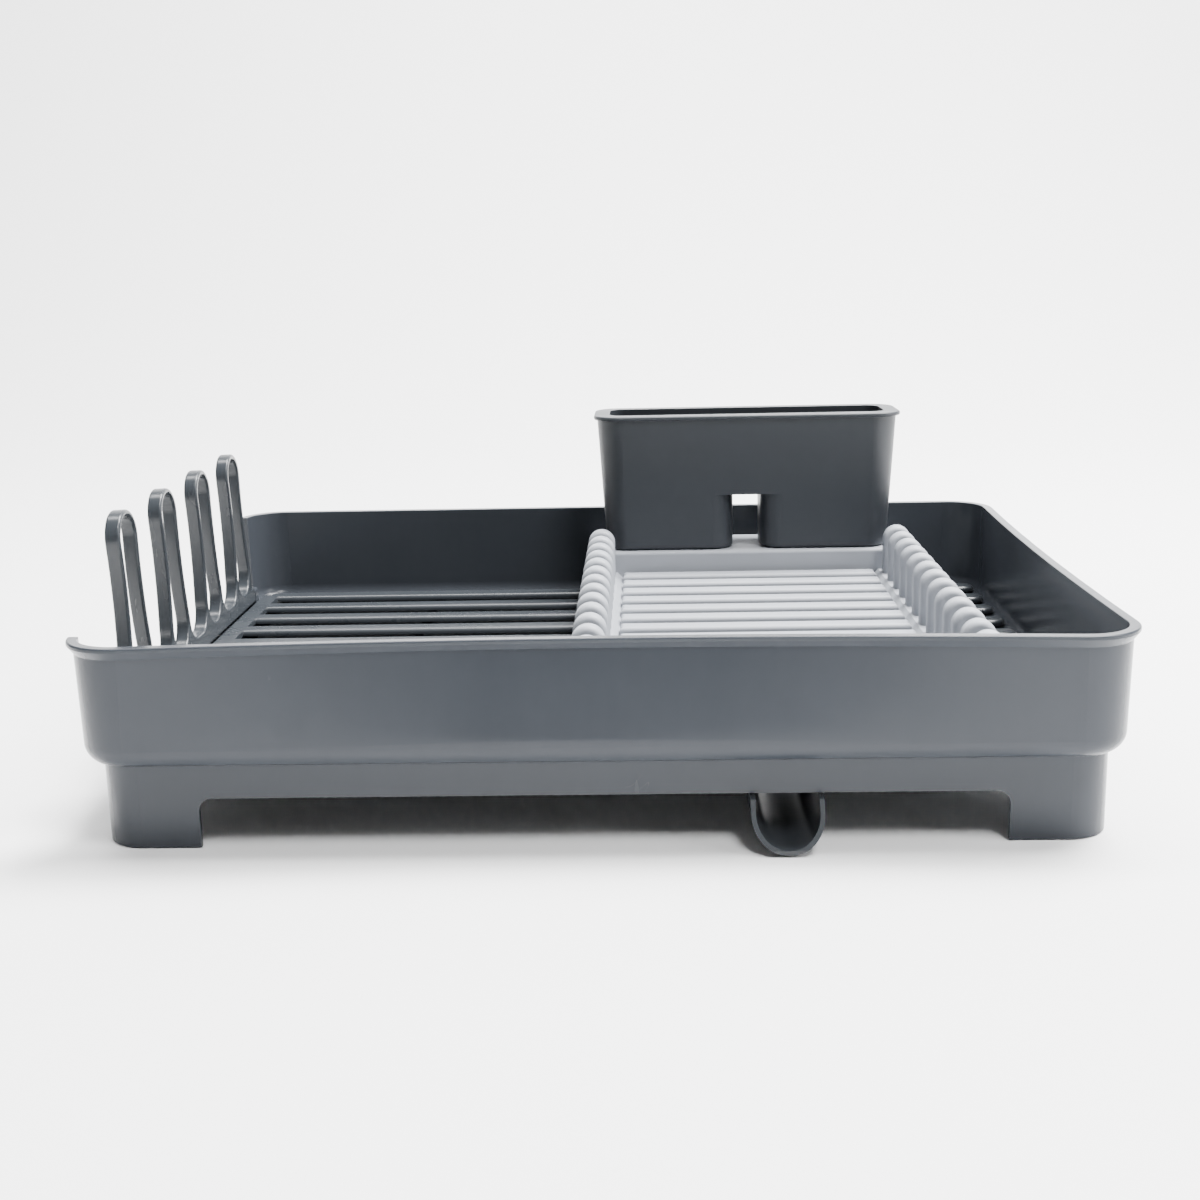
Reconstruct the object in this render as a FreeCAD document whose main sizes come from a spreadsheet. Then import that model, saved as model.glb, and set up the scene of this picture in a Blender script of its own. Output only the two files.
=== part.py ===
import FreeCAD, Part
import math
import os
import re

import Sketcher

# Dish drying rack: a drip tub on four corner feet, a ribbed drainer grid, a plate rack with a
# cutlery holder on its shelf, a fold-down cup rack on two pins and a swivel drain spout.
# Frame: X along the length, Y towards the back, +Z up, origin on the ground at the centre.

doc = FreeCAD.newDocument("DishRack")
sheet = doc.addObject("Spreadsheet::Sheet", "Sizes")

# name, value in mm or degrees, what it is
sizes = [
    ("rimWidth", 450.0, "rim, outside, left to right"),
    ("rimDepth", 335.0, "rim, outside, front to back"),
    ("rimHeight", 93.5, "top of the rim above the ground"),
    ("rimLip", 2.6, "how far the rim stands out from the wall"),
    ("rimThick", 1.8, "thickness of the rim's lip"),
    ("rimRadius", 25.0, "plan radius of the rim's corners"),
    ("rimRound", 0.8, "rounding of the rim's edges"),
    ("flareDrop", 3.5, "height of the flare under the lip"),
    ("wallThick", 2.2, "tub wall"),
    ("wallDraft", 0.7, "how much each wall leans out from floor to rim"),
    ("frontBow", 8.0, "how far the front rim curves in at its middle"),
    ("sideBow", 2.7, "how far the right rim curves in at its middle"),
    ("floorUnder", 39.3, "underside of the tub floor"),
    ("floorThick", 2.2, "tub floor"),
    ("bottomRound", 9.0, "outside rounding between wall and floor"),
    ("leanFrom", 49.0, "height from which the walls lean and curve"),
    ("sideOpening", 290.0, "length of the opening in the left wall"),
    ("sideSill", 44.4, "height of what is left of the left wall"),
    ("skirtWidth", 435.0, "skirt, outside, left to right"),
    ("skirtDepth", 301.0, "skirt, outside, front to back"),
    ("skirtRadius", 19.0, "plan radius of the skirt's corners"),
    ("skirtThick", 2.2, "skirt wall"),
    ("footLength", 44.5, "foot, left to right"),
    ("footDepth", 44.5, "foot, front to back"),
    ("archHeight", 22.6, "height of the arches between the feet"),
    ("archRound", 6.0, "rounding of the arches' upper corners"),
    ("soleThick", 2.4, "plate that closes the bottom of each foot"),
    ("soleLength", 30.5, "the same plate, in from the skirt's outer faces"),
    ("padRadius", 9.0, "rubber foot pad"),
    ("padThick", 1.6, "rubber foot pad"),
    ("padProud", 0.5, "how far a pad stands below its foot"),
    ("padInset", 20.0, "pad centre, in from the skirt's two outer faces"),
    ("seatGap", 0.3, "gap between a part and what it rests on"),
    ("gridTop", 46.0, "top of the drainer grid's ribs"),
    ("gridThick", 3.0, "drainer grid rib, top to bottom"),
    ("gridRibWidth", 12.4, "drainer grid rib"),
    ("gridPitch", 28.2, "drainer grid ribs, centre to centre"),
    ("gridRibCount", 11.0, "drainer grid ribs"),
    ("gridRibRound", 2.4, "rounding of a drainer grid rib's long edges"),
    ("gridFirst", 144.5, "centre line of the rearmost drainer grid rib"),
    ("gridSideGap", 3.5, "from the right-hand tub wall to the rib ends"),
    ("stripWidth", 9.4, "flat strip along the drainer grid's left side"),
    ("stripLength", 286.0, "the same strip, front to back"),
    ("runnerWidth", 5.0, "runners under the drainer grid"),
    ("centreX", 78.5, "centre line of plate rack, holder and spout"),
    ("rowSpan", 167.0, "plate rack, between the two rows of teeth"),
    ("toothWidth", 15.0, "tooth, left to right"),
    ("toothThick", 8.8, "tooth, front to back"),
    ("toothTop", 91.6, "top of the teeth"),
    ("toothPitch", 20.4, "teeth, centre to centre"),
    ("toothCount", 13.0, "teeth in a row"),
    ("toothFirst", 97.0, "centre of the rearmost tooth"),
    ("toothRound", 2.6, "rounding of a tooth's edges"),
    ("railWidth", 21.0, "rail under a row of teeth"),
    ("railLedge", 0.5, "rail beyond the teeth"),
    ("railTop", 64.5, "top of the rails"),
    ("railBevel", 4.5, "slope along a rail's inner edge"),
    ("rackWall", 2.2, "plate rack wall"),
    ("plateRibTop", 65.8, "top of the ribs that plates stand on"),
    ("plateRibWidth", 10.6, "the same rib, front to back"),
    ("plateRibThick", 5.5, "the same rib, top to bottom"),
    ("plateRibRound", 2.2, "rounding of the same rib's long edges"),
    ("shelfTop", 76.3, "shelf for the cutlery holder"),
    ("shelfFront", 107.5, "front face of the shelf"),
    ("shelfDepth", 51.5, "shelf, front to back"),
    ("shelfRound", 2.0, "rounding of the shelf's front edge"),
    ("holderFront", 111.0, "front face of the holder at its foot"),
    ("holderWidth", 161.8, "holder at its foot, left to right"),
    ("holderDepth", 38.0, "holder at its foot, front to back"),
    ("holderHeight", 77.8, "holder"),
    ("holderRadius", 12.0, "plan radius of the holder's corners"),
    ("holderLean", 3.4, "degrees by which the holder's walls lean out"),
    ("holderWall", 1.9, "holder wall"),
    ("holderLip", 1.7, "how far the holder's rim stands out"),
    ("holderLipThick", 2.4, "holder's rim"),
    ("legGap", 15.6, "gap between the holder's two legs"),
    ("legHeight", 32.0, "height of that gap"),
    ("legFoot", 2.0, "rounding under the legs"),
    ("slotLength", 46.0, "drain slot in a leg's floor"),
    ("slotWidth", 4.0, "the same slot"),
    ("slotPitch", 9.0, "drain slots, centre to centre"),
    ("cupPitch", 62.5, "cup loops, centre to centre"),
    ("cupCount", 4.0, "cup loops"),
    ("cupCentre", 10.0, "middle of the cup rack, front to back"),
    ("cupHinge", 50.5, "height of the cup rack's pins"),
    ("cupInset", 8.4, "from the rim's left edge to the cup rack's pins"),
    ("cupTop", 137.4, "top of the loops"),
    ("cupCrown", 10.2, "inner radius at the top of a loop"),
    ("cupSide", 196.0, "radius of the inward curve of a loop's sides, outside"),
    ("cupSlotFoot", 12.6, "inner radius at the bottom of a loop"),
    ("cupBarTop", 55.0, "top of the cup rack's foot bar"),
    ("cupBarBottom", 46.2, "bottom of the cup rack's foot bar"),
    ("cupBarEnd", 6.0, "foot bar beyond the last loop"),
    ("cupStrip", 3.0, "thickness of a loop"),
    ("cupWidth", 7.0, "width of a loop, left to right"),
    ("cupValley", 12.0, "rounding between two loops"),
    ("cupEdge", 1.2, "rounding of a loop's edges"),
    ("cupLean", 1.7, "degrees by which the loops lean out at rest"),
    ("earThick", 6.5, "ear that holds a cup rack pin"),
    ("earWidth", 7.0, "the same ear, left to right"),
    ("pinRadius", 1.75, "cup rack pin"),
    ("pinDepth", 9.0, "how deep a pin reaches into the cup rack"),
    ("pinGap", 0.08, "radial clearance of the cup rack on its pins"),
    ("pinHead", 1.2, "head of a pin"),
    ("drainY", -92.0, "drain hole, front to back"),
    ("neckRadius", 13.0, "spout neck, outside"),
    ("neckGap", 0.3, "radial clearance of the neck in the floor"),
    ("spoutWall", 2.0, "spout wall"),
    ("spoutRadius", 15.5, "spout trough, outside"),
    ("spoutReach", 75.5, "from the drain hole to the spout's lip"),
    ("spoutFoot", 1.0, "underside of the spout at its lip"),
    ("spoutTop", 21.7, "upper edges of the trough"),
    ("spoutCut", 12.0, "how far the trough's upper edges stop short"),
    ("sealThick", 1.2, "sealing ring"),
    ("sealWidth", 3.2, "sealing ring, inside to outside"),
    ("retainerLip", 4.0, "how far the retaining ring overlaps the floor"),
    ("retainerThick", 1.0, "retaining ring"),
    ("retainerDepth", 7.0, "sleeve of the retaining ring"),
    ("grateBar", 2.0, "bar across the retaining ring"),
]
for row, (alias, number, note) in enumerate(sizes, start=1):
    sheet.set("A%d" % row, alias)
    sheet.set("B%d" % row, str(number))
    sheet.set("C%d" % row, note)
    sheet.setAlias("B%d" % row, alias)
doc.recompute()
names = {alias for alias, number, note in sizes}


def full(text):
    """The expression with every size name pointed at the sheet."""
    return re.sub(r"[A-Za-z]\w*", lambda w: ("Sizes." if w.group() in names else "") + w.group(), text)


def val(text):
    """The number that an expression over the sizes comes to."""
    result = sheet.evalExpression(full(text))
    return float(getattr(result, "Value", result))


def bind(thing, path, text):
    thing.setExpression(path, full(text))


# ---------------------------------------------------------------- helpers: bodies and sketches

def new_body(label):
    return doc.addObject("PartDesign::Body", label)


def sketch_on(body, name, plane, offset="0"):
    """A sketch on one of the body's origin planes, moved along the plane's normal."""
    sketch = body.newObject("Sketcher::SketchObject", name)
    origin = [item for item in body.Origin.OriginFeatures if item.Role == plane][0]
    sketch.AttachmentSupport = [(origin, "")]
    sketch.MapMode = "FlatFace"
    bind(sketch, "AttachmentOffset.Base.z", offset)
    return sketch


def size_of(sketch, kind, args, text):
    """One dimension of a sketch, bound to an expression over the sizes."""
    index = sketch.addConstraint(Sketcher.Constraint(kind, *args, val(text)))
    sketch.renameConstraint(index, "d%d" % index)
    bind(sketch, "Constraints.d%d" % index, text)


def point_at(sketch, geo, pos, x, y):
    size_of(sketch, "DistanceX", (-1, 1, geo, pos), x)
    size_of(sketch, "DistanceY", (-1, 1, geo, pos), y)


def arc(cx, cy, radius, start, end):
    circle = Part.Circle(FreeCAD.Vector(cx, cy, 0), FreeCAD.Vector(0, 0, 1), radius)
    return Part.ArcOfCircle(circle, math.radians(start), math.radians(end))


def line(ax, ay, bx, by):
    return Part.LineSegment(FreeCAD.Vector(ax, ay, 0), FreeCAD.Vector(bx, by, 0))


def polygon(sketch, corners):
    """A closed outline of straight lines through corners given as expression pairs."""
    first = sketch.GeometryCount
    spots = [(val(x), val(y)) for x, y in corners]
    count = len(spots)
    for i in range(count):
        sketch.addGeometry(line(*spots[i], *spots[(i + 1) % count]), False)
    for i in range(count):
        sketch.addConstraint(Sketcher.Constraint("Coincident", first + i, 2, first + (i + 1) % count, 1))
    for i, (x, y) in enumerate(corners):
        point_at(sketch, first + i, 1, x, y)


def rectangle(sketch, x0, y0, x1, y1):
    polygon(sketch, [(x0, y0), (x1, y0), (x1, y1), (x0, y1)])


def circle(sketch, x, y, radius):
    geo = sketch.addGeometry(Part.Circle(FreeCAD.Vector(val(x), val(y), 0), FreeCAD.Vector(0, 0, 1),
                                         val(radius)), False)
    point_at(sketch, geo, 3, x, y)
    size_of(sketch, "Radius", (geo,), radius)


def outline(sketch, cx, cy, width, depth, radius, front_bow=None, side_bow=None):
    """A rounded rectangle. Its front and right sides may curve inwards, tangent to the corners."""
    x, y, w, d, r = (val(t) for t in (cx, cy, width, depth, radius))
    half_w, half_d = w / 2 - r, d / 2 - r
    turn_front = 2 * math.degrees(math.atan(val(front_bow) / half_w)) if front_bow else 0.0
    turn_side = 2 * math.degrees(math.atan(val(side_bow) / half_d)) if side_bow else 0.0
    # corner arcs, anticlockwise from front left
    spans = [(-1, -1, 180, 270 + turn_front), (1, -1, 270 - turn_front, 360 + turn_side),
             (1, 1, 0 - turn_side, 90), (-1, 1, 90, 180)]
    first = sketch.GeometryCount
    ends = []
    for sx, sy, start, end in spans:
        mx, my = x + sx * half_w, y + sy * half_d
        sketch.addGeometry(arc(mx, my, r, start, end), False)
        a, b = math.radians(start), math.radians(end)
        ends.append(((mx + r * math.cos(a), my + r * math.sin(a)),
                     (mx + r * math.cos(b), my + r * math.sin(b))))
    bows = {0: (front_bow, half_w, width), 1: (side_bow, half_d, depth)}
    for i in range(4):
        a, b = ends[i][1], ends[(i + 1) % 4][0]
        bow = bows.get(i, (None,))[0]
        if bow:
            reach = bows[i][1]
            big = (reach ** 2 + val(bow) ** 2) / (2 * val(bow)) - r
            if i == 0:
                hub, start, end = (x, y - d / 2 + val(bow) - big), 90 - turn_front, 90 + turn_front
            else:
                hub, start, end = (x + w / 2 - val(bow) + big, y), 180 - turn_side, 180 + turn_side
            # the side runs clockwise about its far centre, so its own start is the later end
            sketch.addGeometry(arc(hub[0], hub[1], big, start, end), False)
        else:
            sketch.addGeometry(line(*a, *b), False)
    for i in range(4):
        side, here, there = first + 4 + i, first + i, first + (i + 1) % 4
        near, far = (2, 1) if bows.get(i, (None,))[0] else (1, 2)
        sketch.addConstraint(Sketcher.Constraint("Tangent", here, 2, side, near))
        sketch.addConstraint(Sketcher.Constraint("Tangent", side, far, there, 1))
    for i, (sx, sy, start, end) in enumerate(spans):
        point_at(sketch, first + i, 3,
                 "%s %s ((%s) / 2 - (%s))" % (cx, "+-"[sx < 0], width, radius),
                 "%s %s ((%s) / 2 - (%s))" % (cy, "+-"[sy < 0], depth, radius))
    size_of(sketch, "Radius", (first,), radius)
    for i in range(4):
        bow, span = bows.get(i, (None, None, None))[0], bows.get(i, (None, None, None))[2]
        if bow:
            half = "((%s) / 2 - (%s))" % (span, radius)
            size_of(sketch, "Radius", (first + 4 + i,),
                    "(%s ^ 2 + (%s) ^ 2) / (2 * (%s)) - (%s)" % (half, bow, bow, radius))


def side_curve(low_radius, high_radius, span, side_radius):
    """The hub of an inward side curve that touches a low and a high round end, and where it does."""
    up = ((side_radius + low_radius) ** 2 - (side_radius + high_radius) ** 2 + span ** 2) / (2 * span)
    out = math.sqrt((side_radius + low_radius) ** 2 - up ** 2)
    return out, up, math.degrees(math.atan2(up, out)), math.degrees(math.atan2(up - span, out))


def capsule(sketch, x, low, high, low_radius, high_radius, side_radius):
    """A slot standing along the sketch's Y, with two round ends and sides that curve inwards."""
    cx, y0, y1, r0, r1, rs = (val(t) for t in (x, low, high, low_radius, high_radius, side_radius))
    out, up, at_low, at_high = side_curve(r0, r1, y1 - y0, rs)
    first = sketch.GeometryCount
    sketch.addGeometry(arc(cx, y0, r0, 180 - at_low, 360 + at_low), False)
    sketch.addGeometry(arc(cx, y1, r1, at_high, 180 - at_high), False)
    sketch.addGeometry(arc(cx + out, y0 + up, rs, 180 + at_high, 180 + at_low), False)
    sketch.addGeometry(arc(cx - out, y0 + up, rs, -at_low, -at_high), False)
    for a, pa, b, pb in ((0, 2, 2, 2), (2, 1, 1, 1), (1, 2, 3, 2), (3, 1, 0, 1)):
        sketch.addConstraint(Sketcher.Constraint("Tangent", first + a, pa, first + b, pb))
    point_at(sketch, first, 3, x, low)
    point_at(sketch, first + 1, 3, x, high)
    for geo, radius in ((0, low_radius), (1, high_radius), (2, side_radius), (3, side_radius)):
        size_of(sketch, "Radius", (first + geo,), radius)


def feature(body, kind, name, profile, **settings):
    """A pad, pocket or revolution of a sketch. Text settings are expressions."""
    item = body.newObject("PartDesign::" + kind, name)
    item.Profile = profile
    for key, setting in settings.items():
        if isinstance(setting, str) and key not in ("Type", "SideType"):
            bind(item, key, setting)
        else:
            setattr(item, key, setting)
    profile.Visibility = False
    doc.recompute()
    return item


def loft(body, kind, name, sections):
    item = body.newObject("PartDesign::" + kind, name)
    item.Profile = sections[0]
    item.Sections = sections[1:]
    item.Ruled = True
    doc.recompute()
    return item


def edges_where(shape, test):
    """Names of the edges whose every sampled point passes the test."""
    found = []
    for number, edge in enumerate(shape.Edges, start=1):
        low, high = edge.ParameterRange
        spots = [edge.valueAt(low + (high - low) * k / 4) for k in range(5)]
        if all(test(p) for p in spots):
            found.append("Edge%d" % number)
    return found


def round_edges(body, name, radius, test, kind="Fillet", across=False):
    """Fillet or chamfer the edges that pass the test, or of those only the ones that run along X."""
    base = body.Tip
    chosen = edges_where(base.Shape, test)
    if across:
        chosen = [n for n in chosen if abs(base.Shape.getElement(n).tangentAt(
            base.Shape.getElement(n).FirstParameter).x) > 0.99]
    item = body.newObject("PartDesign::" + kind, name)
    item.Base = (base, chosen)
    bind(item, "Radius" if kind == "Fillet" else "Size", radius)
    doc.recompute()
    return item


def pattern(body, kind, name, originals, **settings):
    item = body.newObject("PartDesign::" + kind, name)
    item.Originals = originals
    for key, setting in settings.items():
        if isinstance(setting, str):
            bind(item, key, setting)
        else:
            setattr(item, key, setting)
    body.Tip = item
    doc.recompute()
    return item


def axis_of(body, role):
    return [item for item in body.Origin.OriginFeatures if item.Role == role][0]


def near(a, b, slack=0.05):
    return abs(a - b) < slack


# ---------------------------------------------------------------- drip tub

def tub_form(body, name, floor, rounding, width, depth, radius, top):
    """An upright slab with a rounded bottom edge, then walls that lean out and bow in to the top."""
    foot_w, foot_d = width + " - 2 * wallDraft", depth + " - 2 * wallDraft"
    slab = sketch_on(body, name + "Slab", "XY_Plane", floor)
    outline(slab, "0", "0", foot_w, foot_d, radius)
    feature(body, "Pad", name + "SlabPad", slab, Length="leanFrom - (%s)" % floor)
    round_edges(body, name + "BottomRound", rounding, lambda p: near(p.z, val(floor)))
    foot = sketch_on(body, name + "WallFoot", "XY_Plane", "leanFrom")
    outline(foot, "0", "0", foot_w, foot_d, radius)
    head = sketch_on(body, name + "WallHead", "XY_Plane", top)
    outline(head, "0", "0", width, depth, radius, "frontBow", "sideBow")
    loft(body, "AdditiveLoft", name + "Wall", [foot, head])


def build_tub():
    body = new_body("drip_tub")
    wall_w, wall_d = "rimWidth - 2 * rimLip", "rimDepth - 2 * rimLip"
    wall_r = "rimRadius - rimLip"

    tub_form(body, "Tub", "floorUnder", "bottomRound", wall_w, wall_d, wall_r, "rimHeight - rimThick")

    low = sketch_on(body, "TubFlareFoot", "XY_Plane", "rimHeight - rimThick - flareDrop")
    outline(low, "0", "0", wall_w, wall_d, wall_r, "frontBow", "sideBow")
    high = sketch_on(body, "TubFlareHead", "XY_Plane", "rimHeight - rimThick")
    outline(high, "0", "0", "rimWidth", "rimDepth", "rimRadius", "frontBow", "sideBow")
    loft(body, "AdditiveLoft", "TubFlare", [low, high])
    rim = sketch_on(body, "TubRimOutline", "XY_Plane", "rimHeight - rimThick")
    outline(rim, "0", "0", "rimWidth", "rimDepth", "rimRadius", "frontBow", "sideBow")
    feature(body, "Pad", "TubRim", rim, Length="rimThick")
    round_edges(body, "TubRimRound", "rimRound", lambda p: near(p.z, val("rimHeight")))

    form = new_body("TubInsideForm")
    wall = "2 * (rimLip + wallThick)"
    tub_form(form, "TubInside", "floorUnder + floorThick", "bottomRound - floorThick",
             "rimWidth - " + wall, "rimDepth - " + wall, "rimRadius - rimLip - wallThick", "rimHeight")
    cut = body.newObject("PartDesign::Boolean", "TubHollow")
    cut.Type = "Cut"
    cut.setObjects([form])
    doc.recompute()
    inside = [val("rimWidth / 2 - rimLip"), val("rimDepth / 2 - rimLip")]
    round_edges(body, "TubRimInnerRound", "rimRound / 2",
                lambda p: near(p.z, val("rimHeight")) and abs(p.x) < inside[0] and abs(p.y) < inside[1])

    sole = sketch_on(body, "TubSoleOutline", "XY_Plane", "padProud")
    outline(sole, "0", "0", "skirtWidth", "skirtDepth", "skirtRadius")
    feature(body, "Pad", "TubSole", sole, Length="soleThick")
    skirt = sketch_on(body, "TubSkirtOutline", "XY_Plane", "padProud")
    outline(skirt, "0", "0", "skirtWidth", "skirtDepth", "skirtRadius")
    outline(skirt, "0", "0", "skirtWidth - 2 * skirtThick", "skirtDepth - 2 * skirtThick",
            "skirtRadius - skirtThick")
    feature(body, "Pad", "TubSkirt", skirt, Length="floorUnder + floorThick * 0.9 - padProud")

    arch = sketch_on(body, "TubFrontArch", "XZ_Plane")
    outline(arch, "0", "0", "skirtWidth - 2 * footLength", "2 * archHeight", "archRound")
    feature(body, "Pocket", "TubFrontArches", arch, Type="ThroughAll", Midplane=True)
    arch = sketch_on(body, "TubSideArch", "YZ_Plane")
    outline(arch, "0", "0", "skirtDepth - 2 * footDepth", "2 * archHeight", "archRound")
    feature(body, "Pocket", "TubSideArches", arch, Type="ThroughAll", Midplane=True)
    for way, in_x, in_y in (("Long", "soleLength", "skirtThick"), ("Short", "skirtThick", "soleLength")):
        trim = sketch_on(body, "TubSole%sTrim" % way, "XY_Plane", "padProud")
        half = ("(skirtWidth / 2 - %s)" % in_x, "(skirtDepth / 2 - %s)" % in_y)
        rectangle(trim, "-" + half[0], "-" + half[1], *half)
        feature(body, "Pocket", "TubSole%sCut" % way, trim, Type="Length", Reversed=True,
                Length="soleThick")

    gate = sketch_on(body, "TubSideOpening", "YZ_Plane", "-rimWidth / 2 - 1")
    rectangle(gate, "-sideOpening / 2", "sideSill", "sideOpening / 2", "rimHeight + 1")
    feature(body, "Pocket", "TubSideGate", gate, Type="Length", Reversed=True,
            Length="1 + rimLip + wallThick + bottomRound")

    ears = sketch_on(body, "TubEarOutline", "XZ_Plane", "-(%s)" % rack_end(1, "earThick + seatGap"))
    left = "-rimWidth / 2 + cupInset - earWidth / 2"
    rectangle(ears, left, "floorUnder + floorThick / 2", left + " + earWidth", "cupHinge + earWidth / 2")
    feature(body, "Pad", "TubRearEar", ears, Length="earThick")
    ears = sketch_on(body, "TubFrontEarOutline", "XZ_Plane", "-(%s)" % rack_end(-1, "seatGap"))
    rectangle(ears, left, "floorUnder + floorThick / 2", left + " + earWidth", "cupHinge + earWidth / 2")
    feature(body, "Pad", "TubFrontEar", ears, Length="earThick")
    round_edges(body, "TubEarRound", "earWidth * 0.3",
                lambda p: near(p.z, val("cupHinge + earWidth / 2")))
    bore = sketch_on(body, "TubPinBores", "XZ_Plane")
    circle(bore, "-rimWidth / 2 + cupInset", "cupHinge", "pinRadius")
    feature(body, "Pocket", "TubPinBoresCut", bore, Type="Length",
            Length="(%s) + 1" % rack_end(1, "earThick + seatGap"))
    bore = sketch_on(body, "TubPinBoresFront", "XZ_Plane")
    circle(bore, "-rimWidth / 2 + cupInset", "cupHinge", "pinRadius")
    feature(body, "Pocket", "TubPinBoresFrontCut", bore, Type="Length", Reversed=True,
            Length="1 - (%s)" % rack_end(-1, "earThick + seatGap"))

    drain = sketch_on(body, "TubDrainOutline", "XY_Plane", "floorUnder + floorThick + 1")
    circle(drain, "centreX", "drainY", "neckRadius + neckGap")
    feature(body, "Pocket", "TubDrain", drain, Type="Length", Length="floorThick + 2")

    seats = sketch_on(body, "TubPadSeats", "XY_Plane", "padProud")
    for sx in "-+":
        for sy in "-+":
            circle(seats, sx + "(skirtWidth / 2 - padInset)", sy + "(skirtDepth / 2 - padInset)",
                   "padRadius + seatGap / 3")
    feature(body, "Pocket", "TubPadSeatsCut", seats, Type="Length", Reversed=True,
            Length="padThick - padProud")
    return body


def rack_end(side, beyond="0"):
    """Where the cup rack ends, front (-1) or back (1), plus an amount further out."""
    half = "((cupCount - 1) / 2 * cupPitch + cupSlotFoot + cupStrip + cupBarEnd + %s)" % beyond
    return "cupCentre %s %s" % ("+" if side > 0 else "-", half)


# ---------------------------------------------------------------- drainer grid

def build_grid():
    body = new_body("drainer_grid")
    inner = "(rimWidth / 2 - rimLip - wallThick - wallDraft)"
    strip_x = "-rimWidth / 2 + cupInset + cupWidth / 2 + seatGap * 2"
    rib_end = inner + " - gridSideGap"

    start = "(%s + stripWidth / 3)" % strip_x
    runner = sketch_on(body, "GridRunnerOutline", "XY_Plane", "floorUnder + floorThick + seatGap")
    back = "gridFirst + gridRibWidth / 4"
    front = "gridFirst - (gridRibCount - 1) * gridPitch - gridRibWidth / 4"
    under_rail = "(rowSpan + toothWidth + 2 * railLedge - railWidth) / 2"
    for side in "-+":
        mid = "centreX %s %s" % (side, under_rail)
        rectangle(runner, mid + " - runnerWidth / 2", front, mid + " + runnerWidth / 2", back)
    beam = "(gridTop - gridThick * 0.85 - floorUnder - floorThick - seatGap)"
    feature(body, "Pad", "GridRunners", runner, Length=beam)
    stud = sketch_on(body, "GridStudOutline", "XY_Plane", "floorUnder + floorThick + seatGap")
    for mid in (start + " + 2 * runnerWidth", "(%s + centreX - %s) / 2" % (start, under_rail),
                rib_end + " - 2 * runnerWidth"):
        rectangle(stud, mid + " - runnerWidth / 2", "gridFirst - gridRibWidth / 4",
                  mid + " + runnerWidth / 2", back)
    pad = feature(body, "Pad", "GridStud", stud, Length=beam)
    pattern(body, "LinearPattern", "GridStuds", [pad], Direction=(axis_of(body, "Y_Axis"), [""]),
            Reversed=True, Length="(gridRibCount - 1) * gridPitch", Occurrences=int(val("gridRibCount")))
    rib = sketch_on(body, "GridRibOutline", "XY_Plane", "gridTop - gridThick")
    outline(rib, "(%s + %s) / 2" % (start, rib_end), "gridFirst", "%s - %s" % (rib_end, start),
            "gridRibWidth", "gridRibWidth * 0.49")
    pad = feature(body, "Pad", "GridRib", rib, Length="gridThick")
    pattern(body, "LinearPattern", "GridRibs", [pad], Direction=(axis_of(body, "Y_Axis"), [""]),
            Reversed=True, Length="(gridRibCount - 1) * gridPitch", Occurrences=int(val("gridRibCount")))
    round_edges(body, "GridRibRound", "gridRibRound", lambda p: near(p.z, val("gridTop")))

    strip = sketch_on(body, "GridStripOutline", "XY_Plane", "gridTop - gridThick")
    rectangle(strip, strip_x, "-stripLength / 2", strip_x + " + stripWidth", "stripLength / 2")
    feature(body, "Pad", "GridStrip", strip, Length="gridThick")
    return body


# ---------------------------------------------------------------- plate rack

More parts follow.
